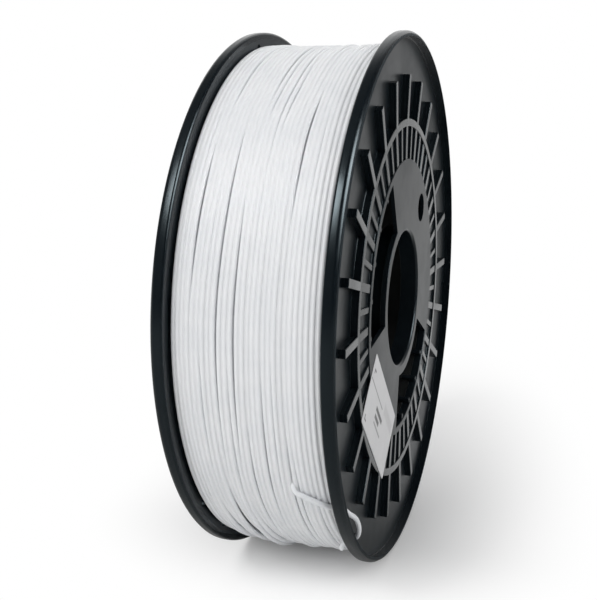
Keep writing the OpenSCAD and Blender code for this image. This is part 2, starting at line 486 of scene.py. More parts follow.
def new_group(name: str, vectors: list[str], numbers: list[str], results: list[str]) -> Graph:
    """Empty node group with named inputs and outputs.

    Args:
        name: The group's name.
        vectors: Names of the inputs that are vectors.
        numbers: Names of the inputs that are numbers.
        results: Names of the outputs, which are numbers.

    Returns:
        The group's tree.
    """
    tree = bpy.data.node_groups.new(name, "ShaderNodeTree")
    for title in vectors + numbers:
        kind = "NodeSocketVector" if title in vectors else "NodeSocketFloat"
        tree.interface.new_socket(title, in_out="INPUT", socket_type=kind)
    for title in results:
        tree.interface.new_socket(title, in_out="OUTPUT", socket_type="NodeSocketFloat")
    return Graph(tree)


def surface_group() -> bpy.types.NodeTree:
    """Node group of a moulded or drawn plastic surface: broad smudges and a fine grain.

    Inputs are the coordinates, how many smudges and grains lie in a unit of them, and the roughness with its
    spread. Outputs are a mask of the smudges, the roughness and the grain's height from 0 to 1.

    Returns:
        The group.
    """
    name = "plastic_surface"
    if name in bpy.data.node_groups:
        return bpy.data.node_groups[name]
    graph = new_group(name, ["Place"], ["Smudge Rate", "Grain Rate", "Roughness", "Spread"],
                      ["Smudge", "Roughness", "Height"])
    given = graph.add("NodeGroupInput").outputs
    smudge = graph.add("ShaderNodeTexNoise", in_Vector=given["Place"], in_Scale=given["Smudge Rate"],
                       in_Detail=3.0, in_Roughness=0.6)
    grain = graph.add("ShaderNodeTexNoise", in_Vector=given["Place"], in_Scale=given["Grain Rate"],
                      in_Detail=2.0, in_Roughness=0.5)
    mask = graph.remap(smudge.outputs["Fac"], (0.35, 0.65), 0, 1)
    shift = graph.maths("MULTIPLY", graph.maths("SUBTRACT", mask, 0.5), given["Spread"])
    graph.add("NodeGroupOutput", in_Smudge=mask, in_Roughness=graph.maths("ADD", shift, given["Roughness"]),
              in_Height=grain.outputs["Fac"])
    return graph.tree


@dataclass(frozen=True)
class PlasticFinish:
    """Satin plastic with smudges and a fine grain."""

    name: str
    colour: Colour
    smudged: Colour
    roughness: float
    spread: float
    smudge_size: float
    grain_size: float
    grain_height: float
    ior: float = 1.5
    tint: Colour = WHITE
    glow_depth: float = 0.0
    glow_share: float = 0.0

    def build(self) -> bpy.types.Material:
        """Builds the material.

        Returns:
            The material.
        """
        material, graph, shader = new_material(self.name)
        place = graph.add("ShaderNodeTexCoord").outputs["Object"]
        surface = graph.add("ShaderNodeGroup", node_tree=surface_group(), in_Place=place,
                            in_Smudge_Rate=1 / self.smudge_size, in_Grain_Rate=1 / self.grain_size,
                            in_Roughness=self.roughness, in_Spread=self.spread).outputs
        graph.join(graph.blend(surface["Smudge"], self.colour, self.smudged), shader.inputs["Base Color"])
        graph.join(self.polish(graph, place, surface["Roughness"]), shader.inputs["Roughness"])
        graph.emboss(surface["Height"], self.grain_height, shader)
        shader.inputs["IOR"].default_value = self.ior
        shader.inputs["Specular Tint"].default_value = (*self.tint, 1)
        if self.glow_share:
            shader.inputs["Subsurface Weight"].default_value = self.glow_share
            shader.inputs["Subsurface Radius"].default_value = (1, 1, 1)
            shader.inputs["Subsurface Scale"].default_value = self.glow_depth
        return material

    def polish(self, graph: Graph, place: Socket, roughness: Socket) -> Socket:
        """Roughness of the surface, which is of one kind all over a plain piece.

        Args:
            graph: The material's graph.
            place: Coordinates on the piece.
            roughness: Roughness of the plain surface.

        Returns:
            The roughness to use.
        """
        return roughness


@dataclass(frozen=True)
class MouldedFinish(PlasticFinish):
    """Plastic of a flange: its plates and its lip are duller than its rings, its ribs and the rim's band."""

    dull: float = 0.13
    top_x: float = 28.1 * MM
    hub_r: float = 53.6 * MM
    rim_r: float = 97.8 * MM
    lip_x: float = 29.9 * MM
    lip_dull: float = 0.34
    step: float = 0.3 * MM

    def polish(self, graph: Graph, place: Socket, roughness: Socket) -> Socket:
        """Adds dullness where a point lies below the tops, on the hub or on the lip.

        Args:
            graph: The material's graph.
            place: Coordinates on the piece.
            roughness: Roughness of the plain surface.

        Returns:
            The roughness to use.
        """
        height = graph.maths("ABSOLUTE", graph.parts(place)["X"])
        radius = graph.vectors("LENGTH", graph.vectors("MULTIPLY", place, (0, 1, 1)))
        low = graph.remap(height, (self.top_x - self.step, self.top_x), 1.0, 0.0)
        inside = graph.remap(radius, (self.rim_r - self.step, self.rim_r), 1.0, 0.0)
        hub = graph.remap(radius, (self.hub_r - self.step, self.hub_r), 1.0, 0.0)
        plate = graph.maths("MAXIMUM", graph.maths("MULTIPLY", low, inside), hub)
        lip = graph.remap(height, (self.lip_x - self.step, self.lip_x), 0.0, self.lip_dull)
        added = graph.maths("MAXIMUM", graph.maths("MULTIPLY", plate, self.dull), lip)
        return graph.maths("ADD", roughness, added)


BLACK_FLANGE = MouldedFinish(
    "black_moulding", colour=(0.003, 0.005, 0.007), smudged=(0.004, 0.0065, 0.0085), roughness=0.22,
    spread=0.05, smudge_size=20 * MM, grain_size=0.7 * MM, grain_height=0.01 * MM, ior=1.4,
    tint=(0.78, 0.93, 1.0))
BLACK_CORE = PlasticFinish(
    "black_tube", colour=(0.004, 0.005, 0.005), smudged=(0.006, 0.007, 0.007), roughness=0.5,
    spread=0.08, smudge_size=15 * MM, grain_size=0.6 * MM, grain_height=0.008 * MM, ior=1.4)
WHITE_FILAMENT = PlasticFinish(
    "white_filament", colour=(0.75, 0.765, 0.785), smudged=(0.78, 0.79, 0.805), roughness=0.42,
    spread=0.08, smudge_size=12 * MM, grain_size=0.5 * MM, grain_height=0.006 * MM, ior=1.46,
    glow_depth=1 * MM, glow_share=0.3)


def dress(obj: bpy.types.Object, material: bpy.types.Material) -> None:
    """Gives a piece its only material.

    Args:
        obj: The piece.
        material: The material.
    """
    obj.data.materials.clear()
    obj.data.materials.append(material)


# ---- the spool


@dataclass(frozen=True)
class SpoolSizes:
    """Sizes of the spool that more than one of its pieces is worked out from."""

    flange_r: float
    flange_x: float
    core_r: float
    floor_z: float
    filament_d: float = 1.75 * MM
    fit: float = 0.1 * MM
    wound_inset: float = 3.8 * MM
    end_drop: float = 1.5 * MM
    shoulder_w: float = 7 * MM
    slack: float = 1.2 * MM
    held_w: float = 12 * MM
    plate_t: float = 1.3 * MM
    thread_inset: float = 5.2 * MM
    thread_a: float = 215
    thread_b: float = 229

    @classmethod
    def from_frame(cls) -> SpoolSizes:
        """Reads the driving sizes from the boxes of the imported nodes.

        Returns:
            The sizes.
        """
        low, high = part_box("flange_right")
        _, tube_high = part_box("core_tube")
        return cls(flange_r=high.y, flange_x=tube_high.x, core_r=tube_high.y, floor_z=low.z)

    def crest(self, x: np.ndarray) -> np.ndarray:
        """Radius of the outer layer's path at x: level, but falling along a parabola at both flanges."""
        level = self.flange_r - self.wound_inset - self.filament_d / 2
        return level - self.end_drop * np.maximum(0, 1 - (self.flange_x - np.abs(x)) / self.shoulder_w) ** 2

    def loose(self, x: np.ndarray) -> np.ndarray:
        """Share of the slack that a turn at x has, which rises from none at a flange to all away from it."""
        return np.clip((self.flange_x - np.abs(x)) / self.held_w, 0, 1)


@dataclass(frozen=True)
class Layer:
    """One layer of filament, wound as a single helix that follows the crest.

    Along the layer's profile the path's place is q(s), with s in turns. Neighbours lie g(s) = q(s + 1) - q(s)
    apart, which is the closest pitch plus an opening, and the openings fill up the profile's length. The
    pitch is a little less than the diameter, because the turns press on each other. An opening is
    (noise - gap_floor) to the power gap_power where the noise is higher than the floor, plus gap_least.
    """

    sizes: SpoolSizes
    turns: int = 28
    pitch: float = 1.7 * MM
    seed: int = 11
    start: float = 60
    rings: int = 120
    sides: int = 12
    gap_rates: Span = (0.6, 6.0)
    gap_waves: int = 15
    gap_floor: float = 0.6
    gap_power: float = 1.2
    gap_least: float = 0.04
    lift: float = 0.13 * MM
    lift_rates: Span = (0.3, 2.4)
    sag: float = 0.7 * MM
    sag_rates: Span = (0.12, 0.34)
    valley_depth: float = 0.27 * MM
    valley_drop: float = 3.2
    valley_most: float = 0.85

    def profile(self) -> tuple[np.ndarray, np.ndarray]:
        """Follows the layer's profile from flange to flange in close steps.

        Returns:
            Length along the profile, and x, at each step.
        """
        reach = self.sizes.flange_x - self.sizes.fit - self.sizes.filament_d / 2
        x = np.linspace(-reach, reach, 2001)
        radius = self.sizes.crest(x)
        length = np.concatenate([[0], np.cumsum(np.hypot(np.diff(x), np.diff(radius)))])
        return length, x

    def places(self) -> tuple[np.ndarray, np.ndarray, np.ndarray]:
        """Centre line of the layer.

        Returns:
            Place along the axis, distance from it and angle of each point.
        """
        length, x = self.profile()
        share = np.arange(self.rings) / self.rings
        s = np.arange(self.turns - 1)[:, None] + share
        wide = np.clip(waves(s, self.seed, self.gap_rates, self.gap_waves) - self.gap_floor, 0, None)
        opening = wide**self.gap_power + self.gap_least
        spare = length[-1] - self.turns * self.pitch
        gap = self.pitch + opening * spare / opening.sum(0)
        first = (share * self.pitch)[None, :]
        q = np.concatenate([first, first + np.cumsum(gap, 0)]).ravel()
        q = np.append(q, length[-1])
        place = np.interp(q, length, x)
        turn = np.arange(len(q)) / self.rings
        angle = 2 * math.pi * turn + math.radians(self.start)
        under = np.maximum(0, -np.sin(angle)) ** 2
        loose = self.sizes.loose(place)
        radius = (self.sizes.crest(place) + self.lift * waves(turn, self.seed + 1, self.lift_rates)
                  + loose * self.sag * under * waves(turn, self.seed + 2, self.sag_rates)
                  - loose * self.sizes.slack * np.sin(angle))
        return place, radius, angle

    def tube(self, name: str, line: Grid, angle: np.ndarray, sides: int) -> bpy.types.Object:
        """Carries a circle, square to the angle round the axis, along a line.

        Args:
            name: Name of the object.
            line: Points of the line, one row each.
            angle: Angle of each point.
            sides: Points of the circle.

        Returns:
            The object.
        """
        outward = around(np.zeros_like(angle), np.ones_like(angle), angle)
        rings = circles(line, (outward, np.array([[1.0, 0, 0]])), self.sizes.filament_d / 2, sides)
        turn, side = np.meshgrid(np.arange(len(line)) / self.rings, np.arange(sides) / sides, indexing="ij")
        return mesh_object(name, closed_tube(rings), np.stack([turn, side], -1).reshape(-1, 2))

    def build(self) -> list[bpy.types.Object]:
        """Builds the outer turns, and the turns of the layer below that lie in the valleys between them.

        A valley's turn lies midway between its two neighbours, and deeper where they stand apart.

        Returns:
            Both tubes.
        """
        place, radius, angle = self.places()
        before, after = slice(None, -self.rings), slice(self.rings, None)
        apart = np.hypot(place[after] - place[before], radius[after] - radius[before])
        opening = np.clip(apart - self.sizes.filament_d, 0, None)
        most = self.valley_most * self.sizes.filament_d
        depth = np.clip(self.valley_depth + self.valley_drop * opening, None, most)
        middle = (place[after] + place[before]) / 2
        below = (radius[after] + radius[before]) / 2 - depth
        return [self.tube("outer_turns", around(place, radius, angle), angle, self.sides),
                self.tube("inner_turns", around(middle, below, angle[before]), angle[before], self.sides - 2)]


class Side(Enum):
    """End of the spool that a flange is on."""

    RIGHT = "right"
    LEFT = "left"

    def place(self, parts: list[Shape], flange_x: float) -> Shape:
        """Takes parts of the moulding, drawn with its face up, to this end of the spool.

        Args:
            parts: Parts of the moulding.
            flange_x: Distance of a flange's inner face from the middle.

        Returns:
            One shape of them all. The left flange is the right one turned end for end.
        """
        points, faces = merged(parts)
        u, v, height = points.T
        x = flange_x + height
        return np.stack([x, u, v] if self is Side.RIGHT else [-x, v, u], -1), faces


@dataclass(frozen=True)
class Flange:
    """One moulded flange: rim, plate, rings, ribs, nibs, hub plates and bore ring, with softened edges.

    It is drawn with its inner face at height 0 and its outer face up. A name that ends in _r is a radius,
    _t a thickness, _h a height and _w a width. Angles are in degrees.
    """

    side: Side
    sizes: SpoolSizes
    material: bpy.types.Material
    rim_h: float = 4.5 * MM
    rim_t: float = 2 * MM
    rim_edge_r: float = 1 * MM
    lip_r: float = 1.9 * MM
    lip_in_r: float = 0.08 * MM
    foot_r: float = 0.02 * MM
    face_h: float = 3.1 * MM
    mid_ring_r: float = 68.4 * MM
    mid_ring_t: float = 2.8 * MM
    hub_ring_r: float = 53.4 * MM
    hub_ring_t: float = 2.5 * MM
    inner_plate_t: float = 2.1 * MM
    rib_count: int = 24
    rib_t: float = 3 * MM
    short_rib_t: float = 2.1 * MM
    inner_rib_h: float = 2.85 * MM
    rib_end_r: float = 84.5 * MM
    rib_rise: float = 0.6 * MM
    bore_r: float = 26 * MM
    bore_edge_r: float = 1 * MM
    bore_ring_t: float = 4.4 * MM
    bore_ring_h: float = 2 * MM
    collar_t: float = 2 * MM
    collar_reach: float = 4 * MM
    hub_plate_t: float = 1.5 * MM
    hub_plate_lift: float = 0.01 * MM
    hub_plate_edges: Span = (0.1 * MM, 0.005 * MM)
    window_span: float = 72
    window_mids: tuple[float, float] = (152, 296)
    driver_r: float = 5.7 * MM
    driver_reach: float = 42.8 * MM
    driver_angle: float = 48
    nib_out_r: float = 50.4 * MM
    nib_t: float = 1.6 * MM
    nib_w: float = 1.6 * MM
    nib_reach: float = 3 * MM
    nib_drop: float = 0.3 * MM
    nib_turn: float = 4.8
    web_w: float = 1.568 * MM
    web_h: float = 0.2 * MM
    thread_r: float = 1.5 * MM
    third_thread: float = 352
    post_heights: Span = (-6 * MM, 8 * MM)
    dish_r: float = 90 * MM
    dish: float = 0.8 * MM
    dish_bend: float = 20 * MM
    soft_r: float = 0.22 * MM
    lap: float = 0.4 * MM
    round_steps: int = 288

    @property
    def mid_in(self) -> float:
        """Inner radius of the middle ring."""
        return self.mid_ring_r - self.mid_ring_t

    @property
    def hub_in(self) -> float:
        """Inner radius of the hub ring."""
        return self.hub_ring_r - self.hub_ring_t

    def revolved(self, corners: list[Triple], angles: np.ndarray | None = None) -> Shape:
        """Carries a rounded section round the axis: r cos a, r sin a, height.

        Args:
            corners: Distance from the axis, height and rounding of each corner, turning left.
            angles: Angles in radians, or None for a whole turn.

        Returns:
            The closed ring, or the stretch between the first and the last angle.
        """
        table = np.array(corners)
        section = rounded(table[:, :2], table[:, 2], 4)
        turn = 2 * math.pi * np.arange(self.round_steps) / self.round_steps if angles is None else angles
        turn = turn[:, None]
        radius, height = section.T
        rings = np.stack(np.broadcast_arrays(radius * np.cos(turn), radius * np.sin(turn), height), -1)
        return closed_tube(rings, angles is None)

    def body(self) -> Shape:
        """Carries the section of the rim, the plate, the middle ring and the hub ring round the axis.

        Returns:
            The body.
        """
        size = self.sizes
        lip_in = size.flange_r - self.rim_t
        mid_in, hub_in, soft = self.mid_in, self.hub_in, self.soft_r
        return self.revolved([
            (size.flange_r, 0, self.rim_edge_r),
            (size.flange_r, self.rim_h, self.lip_r),
            (lip_in, self.rim_h, self.lip_in_r),
            (lip_in, size.plate_t, self.foot_r),
            (self.dish_r, size.plate_t, self.dish_bend),
            (self.mid_ring_r, size.plate_t - self.dish, soft),
            (self.mid_ring_r, self.face_h, soft),
            (mid_in, self.face_h, soft),
            (mid_in, self.inner_plate_t, soft),
            (self.hub_ring_r, self.inner_plate_t, soft),
            (self.hub_ring_r, self.face_h, soft),
            (hub_in, self.face_h, soft),
            (hub_in, 0, soft),
        ])

    def bore(self) -> Shape:
        """Carries the section of the bore ring and its collar round the axis.

        Returns:
            The bore ring.
        """
        ring_out = self.bore_r + self.bore_ring_t
        collar_out = self.bore_r + self.collar_t
        floor = self.face_h - self.bore_ring_h
        soft = self.soft_r
        return self.revolved([
            (ring_out, floor, soft),
            (ring_out, self.face_h, soft),
            (self.bore_r, self.face_h, self.bore_edge_r),
            (self.bore_r, -self.collar_reach, soft),
            (collar_out, -self.collar_reach, soft),
            (collar_out, floor, soft),
        ])

    def hub_plates(self) -> list[Shape]:
        """Carries the section of a hub plate from one window to the next, on both sides.

        Returns:
            Both plates.
        """
        first, second = self.window_mids
        half = self.window_span / 2
        top = self.face_h + self.hub_plate_lift
        inner, outer = self.bore_r + self.bore_ring_t - self.lap, self.hub_in + self.lap
        floor = top - self.hub_plate_t
        low_edge, high_edge = self.hub_plate_edges
        section = [(outer, floor, low_edge), (outer, top, high_edge),
                   (inner, top, high_edge), (inner, floor, low_edge)]
        return [self.revolved(section, np.radians(np.linspace(start + half, end - half, 97)))
                for start, end in ((first, second), (second, first + 360))]

    def block(self, reach: Span, width: float, heights: Span, rise: float = 0.0) -> Shape:
        """Block along the radius with soft edges.

        Args:
            reach: Distances of its ends from the axis.
            width: Its width.
            heights: Its lowest and highest height.
            rise: How much higher its top is at its outer end.

        Returns:
            The block, at angle 0.
        """
        low, high = (np.array([reach[i], (i - 0.5) * width, heights[i]]) for i in (0, 1))
        return rounded_block(low, high, self.soft_r, rise)

    def ribs(self) -> list[Shape]:
        """Turns the long ribs, the ribs between the rings, and the nibs with their webs into place.

        Tops and sides that would lie in one plane are set a hair's breadth apart.

        Returns:
            All ribs, nibs and webs.
        """
        hair = 0.01 * MM
        step = 360 / self.rib_count
        root = self.mid_ring_r - self.mid_ring_t / 2
        foot = self.sizes.plate_t - self.dish - self.lap / 2
        between = (self.hub_ring_r - self.lap, self.mid_in + self.lap)
        low = (self.inner_plate_t - self.lap, self.inner_rib_h)
        nib_in = self.nib_out_r - self.nib_t
        nib_top = self.face_h - self.nib_drop
        kinds = (
            (0, self.block((root, self.rib_end_r), self.rib_t, (foot, self.face_h - 2 * hair),
                           self.rib_rise)),
            (0, self.block(between, self.rib_t, low)),
            (step / 2, self.block(between, self.short_rib_t, low)),
            (self.nib_turn, self.block((nib_in, self.nib_out_r), self.nib_w, (-self.nib_reach, nib_top))),
            (self.nib_turn, self.block((nib_in + self.lap, self.hub_in + self.lap), self.web_w,
                                       (self.web_h, nib_top - hair))),
        )
        turns = step * np.arange(self.rib_count)
        return [turned(part, turn + extra) for turn in turns for extra, part in kinds]

    def hole(self, reach: float, angle: float, radius: float) -> Shape:
        """Round post where a hole is cut, longer than the moulding is thick.

        Args:
            reach: Distance of its middle from the axis.
            angle: Angle of its middle.
            radius: The hole's radius.

        Returns:
            The post.
        """
        turn = 2 * math.pi * np.arange(48) / 48
        heights = np.array(self.post_heights)[:, None]
        u = reach * math.cos(math.radians(angle)) + radius * np.cos(turn)
        v = reach * math.sin(math.radians(angle)) + radius * np.sin(turn)
        return closed_tube(np.stack(np.broadcast_arrays(u, v, heights), -1)[::-1])

    def piece(self, name: str, parts: list[Shape], holes: list[Shape]) -> bpy.types.Object:
        """Object of some of the moulding's parts, at this end of the spool.

        Args:
            name: Name of the object without its side.
            parts: The parts.
            holes: Posts to cut away.

        Returns:
            The object.
        """
        obj = mesh_object(f"{name}_{self.side.value}", self.side.place(parts, self.sizes.flange_x))
        if holes:
            cut_away(obj, mesh_object("posts", self.side.place(holes, self.sizes.flange_x)))
        crease(obj)
        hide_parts(f"flange_{self.side.value}")
        return obj

    def build(self) -> list[bpy.types.Object]:
        """Builds the flange's pieces and gives them their plastic.

        Returns:
            The pieces.
        """
        size = self.sizes
        angles = (size.thread_a, size.thread_b, self.third_thread)
        threads = [self.hole(size.flange_r - size.thread_inset, angle, self.thread_r) for angle in angles]
        driver = [self.hole(self.driver_reach, self.driver_angle, self.driver_r)]
        first, second = self.hub_plates()
        pieces = [
            self.piece("flange_body", [self.body()], threads),
            self.piece("bore_ring", [self.bore(), first], []),
            self.piece("hub_plate", [second], driver),
            self.piece("ribs", self.ribs(), []),
        ]
        for piece in pieces:
            dress(piece, self.material)
            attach(piece, BODY)
        return pieces


@dataclass(frozen=True)
class Winding:
    """The filament on the spool: outer layer, the layer under it, and the plain pack below both."""

    sizes: SpoolSizes
    material: bpy.types.Material
    pack_drop: float = 2.2 * MM

    def build(self) -> list[bpy.types.Object]:
        """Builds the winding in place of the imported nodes.

        Returns:
            The two layers and the pack.
        """
        outer, inner = Layer(self.sizes).build()
        pack = self.pack()
        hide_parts("filament_winding")
        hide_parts("filament_pack")
        pieces = [outer, inner, pack]
        for piece in pieces:
            dress(piece, self.material)
            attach(piece, BODY)
        return pieces

    def pack(self) -> bpy.types.Object:
        """Solid ring of the lower layers: the crest's profile, drawn in, carried round the axis.

        Returns:
            The ring.
        """
        reach = self.sizes.flange_x - self.sizes.fit
        x = np.linspace(reach, -reach, 41)
        base = self.sizes.core_r + self.sizes.fit
        profile_x = np.append(x, [-reach, reach])
        profile_r = np.append(self.sizes.crest(x) - self.pack_drop, [base, base])
        angle = 2 * math.pi * np.arange(96) / 96
        grid = around(profile_x[:, None], profile_r[:, None], angle)
        return mesh_object("packed_turns", closed_tube(grid, joined=True))


@dataclass(frozen=True)
class Tail:
    """The filament's free end: out from the turns, through the flange and back, to its cut end.

    on_turns holds the points of its route that lie on the turns, as over_turns takes them.
    """

    sizes: SpoolSizes
    material: bpy.types.Material
    on_turns: tuple[Triple, ...] = (
        (13.8, -3.9, -9.4), (13.7, -3.1, -8.2), (13.3, -2.0, -7.2), (12.7, -0.8, -6.5), (11.6, -0.1, -5.9),
        (9.8, 0, -5.4), (7.2, 0, -4.4), (4.4, 0, -3.2), (2.4, -0.3, -1.8))
    sides: int = 14
    end_share: float = 0.86
    end_round: float = 0.12 * MM

    def over_turns(self, inset: float, lift: float, turn: float) -> Triple:
        """Point of the route that lies on the outer layer.

        Args:
            inset: Distance from the flange, in millimetres.
            lift: Height above the turns, in millimetres.
            turn: Angle from the first hole, in degrees.

        Returns:
            Place along the axis, distance from it, and angle in degrees.
        """
        size = self.sizes
        x = size.flange_x - inset * MM
        angle = size.thread_a + turn
        droop = float(size.loose(np.array(x))) * size.slack * math.sin(math.radians(angle))
        return x, float(size.crest(np.array(x))) - droop + size.filament_d + size.fit + lift * MM, angle

    def route(self) -> np.ndarray:
        """Points of the route: over the turns, out through hole a, round outside, and in through hole b.

        Returns:
            Place along the axis, distance from it, and angle in degrees of each point.
        """
        size = self.sizes
        hole_r = size.flange_r - size.thread_inset
        face = size.flange_x + size.plate_t
        a, b = size.thread_a, size.thread_b
        return np.array([
            *(self.over_turns(*point) for point in self.on_turns),
            (size.flange_x - 0.9 * MM, hole_r + 0.5 * MM, a - 0.6),
            (size.flange_x, hole_r, a),
            (face + 0.4 * MM, hole_r, a),
            (face + 1.7 * MM, hole_r - 0.5 * MM, a + 2.1),
            (face + 2.2 * MM, hole_r - 1.8 * MM, a + 4.7),
            (face + 2.2 * MM, hole_r - 2.7 * MM, (a + b) / 2 + 0.7),
            (face + 2.1 * MM, hole_r - 2.3 * MM, b - 3.1),
            (face + 1.5 * MM, hole_r - 0.8 * MM, b - 1.0),
            (face + 0.3 * MM, hole_r, b),
            (size.flange_x - 0.7 * MM, hole_r, b),
            (size.flange_x - 1.9 * MM, hole_r + 1.6 * MM, b + 0.5),
            (size.flange_x - 2.8 * MM, hole_r + 2.9 * MM, b + 1.2),
            (size.flange_x - 3.4 * MM, size.flange_r - 1.3 * MM, b + 2),
        ])

    def build(self) -> list[bpy.types.Object]:
        """Carries a circle along a smooth curve through the route, and rounds its cut end a little.

        Returns:
            The tail, as the only piece.
        """
        x, radius, degrees = self.route().T
        line = spline(around(x, radius, np.radians(degrees)), 6)
        along = unit(np.gradient(line, axis=0))
        outward = line * [0, 1, 1]
        across = unit(outward - along * (outward * along).sum(-1, keepdims=True))
        thickness = np.full(len(line), self.sizes.filament_d / 2)
        thickness[-1] *= self.end_share
        line[-2] = line[-1] - along[-1] * self.end_round
        rings = circles(line, (across, np.cross(along, across)), thickness, self.sides)
        obj = mesh_object("tail", closed_tube(rings[:, ::-1]))
        dress(obj, self.material)
        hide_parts("filament_tail")
        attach(obj, BODY)
        return [obj]


@dataclass(frozen=True)
class PrintedBlock:
    """Block of plain grey print on the label, in millimetres from the label's corner.

    Its strength is 1 for full ink, and soft is half the width of its soft edge.
    """

    left: float
    bottom: float
    width: float
    height: float
    strength: float
    soft: float = 0.12


def block_group() -> bpy.types.NodeTree:
    """Node group of a printed block: 1 inside a rectangle, falling to 0 over its soft edge.

    The edge is where the larger of |p - middle| - half, along both sides, is 0.

    Returns:
        The group, with the place, the middle, the half size and the edge's softness as inputs.
    """
    name = "printed_block"
    if name in bpy.data.node_groups:
        return bpy.data.node_groups[name]
    graph = new_group(name, ["Place", "Middle", "Half"], ["Soft"], ["Mask"])
    given = graph.add("NodeGroupInput").outputs
    offset = graph.vectors("ABSOLUTE", graph.vectors("SUBTRACT", given["Place"], given["Middle"]))
    beyond = graph.parts(graph.vectors("SUBTRACT", offset, given["Half"]))
    edge = graph.maths("DIVIDE", graph.maths("MAXIMUM", beyond["X"], beyond["Y"]), given["Soft"])
    graph.add("NodeGroupOutput", in_Mask=graph.remap(edge, (-1.0, 1.0), 1.0, 0.0))
    return graph.tree


@dataclass(frozen=True)
class LabelFinish:
    """White film with generic print: a rule, two corner marks and grey blocks."""

    width: float
    height: float
    paper: Colour = (0.60, 0.60, 0.61)
    ink: Colour = (0.035, 0.035, 0.04)
    roughness: float = 0.38
    spread: float = 0.08
    smudge_rate: float = 0.15
    grain_rate: float = 2.0
    grain_height: float = 0.006 * MM
    blocks: tuple[PrintedBlock, ...] = (
        PrintedBlock(0.8, 9.0, 23.5, 0.6, 0.7),
        PrintedBlock(2.6, 4.6, 2.6, 0.7, 0.95),
        PrintedBlock(2.6, 4.6, 0.8, 1.9, 0.95),
        PrintedBlock(2.6, 24.0, 2.6, 0.7, 0.95),
        PrintedBlock(2.6, 22.6, 0.8, 1.9, 0.95),
        PrintedBlock(15.5, 12.4, 11.5, 1.8, 0.95, 0.2),
        PrintedBlock(15.5, 15.4, 7.5, 1.8, 0.9, 0.2),
        PrintedBlock(15.5, 18.4, 12.5, 0.9, 0.6, 0.2),
        PrintedBlock(27, 5.4, 16.5, 4.0, 0.18, 1.0),
    )

    def build(self) -> bpy.types.Material:
        """Builds the material on the label's own UV map.

        Returns:
            The material.
        """
        material, graph, shader = new_material("label_film")
        on_map = graph.add("ShaderNodeUVMap", uv_map=MAP).outputs["UV"]
        place = graph.vectors("MULTIPLY", on_map, (self.width / MM, self.height / MM, 0))
        ink = None
        for block in self.blocks:
            half = (block.width / 2, block.height / 2, 0)
            mask = graph.add("ShaderNodeGroup", node_tree=block_group(), in_Place=place, in_Half=half,
                             in_Middle=(block.left + half[0], block.bottom + half[1], 0), in_Soft=block.soft)
            shade = graph.maths("MULTIPLY", mask.outputs["Mask"], block.strength)
            ink = shade if ink is None else graph.maths("MAXIMUM", ink, shade)
        surface = graph.add("ShaderNodeGroup", node_tree=surface_group(), in_Place=place,
                            in_Smudge_Rate=self.smudge_rate, in_Grain_Rate=self.grain_rate,
                            in_Roughness=self.roughness, in_Spread=self.spread).outputs
        graph.join(graph.blend(ink, self.paper, self.ink), shader.inputs["Base Color"])
        graph.join(surface["Roughness"], shader.inputs["Roughness"])
        graph.emboss(surface["Height"], self.grain_height, shader)
        return material


@dataclass(frozen=True)
class Label:
    """Thin label stuck on the right flange's rings, with round corners."""

    face_x: float
    long_side: float = 46 * MM
    short_side: float = 27 * MM
    thickness: float = 0.15 * MM
    corner: float = 1 * MM
    reach: float = 51.9 * MM
    angle: float = 225
    tilt: float = -2
    ring_shares: tuple[float, ...] = (0.02, 0.35, 0.7, 0.97, 0.998, 1, 1, 0.998, 0.97, 0.7, 0.35, 0.02)
    ring_heights: tuple[float, ...] = (1, 1, 1, 1, 0.97, 0.85, 0.15, 0.03, 0, 0, 0, 0)

    def outline(self) -> np.ndarray:
        """Edge of the label in its own plane: a rectangle with a quarter circle at each corner.

        Returns:
            Points along the long and the short side, turning left.
        """
        half = np.array([self.long_side, self.short_side]) / 2
        corners = half * np.array([[1, 1], [-1, 1], [-1, -1], [1, -1]])
        return rounded(corners, np.full(4, self.corner), 8)

    def build(self) -> list[bpy.types.Object]:
        """Spreads rings of the outline from the middle of the front over its edge to the middle of the back.

        A point of a ring is centre + share (u long axis + v short axis) + height x.

        Returns:
            The label, as the only piece.
        """
        flat = np.array(self.ring_shares)[:, None, None] * self.outline()[None, ::-1]
        height = np.array(self.ring_heights)[:, None, None] * self.thickness
        middle, lean = math.radians(self.angle), math.radians(self.angle + self.tilt)
        short_axis = np.array([0, math.cos(lean), math.sin(lean)])
        long_axis = np.array([0, -math.sin(lean), math.cos(lean)])
        centre = np.array([self.face_x, self.reach * math.cos(middle), self.reach * math.sin(middle)])
        points = centre + flat[..., :1] * long_axis + flat[..., 1:] * short_axis + height * [1.0, 0, 0]
        uv = flat / [self.long_side, self.short_side] + 0.5
        obj = mesh_object("plain_label", closed_tube(points), uv.reshape(-1, 2))
        obj.data.set_sharp_from_angle(angle=SHARP)
        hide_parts("label")
        dress(obj, LabelFinish(self.long_side, self.short_side).build())
        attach(obj, BODY)
        return [obj]


@dataclass(frozen=True)
class CoreTube:
    """Tube between the flanges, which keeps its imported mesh."""

    finish: PlasticFinish = BLACK_CORE

    def build(self) -> list[bpy.types.Object]:
        """Gives the tube its plastic.

        Returns:
            The tube, as the only piece.
        """
        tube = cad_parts["core_tube"]
        dress(tube, self.finish.build())
        return [tube]


# ---- studio


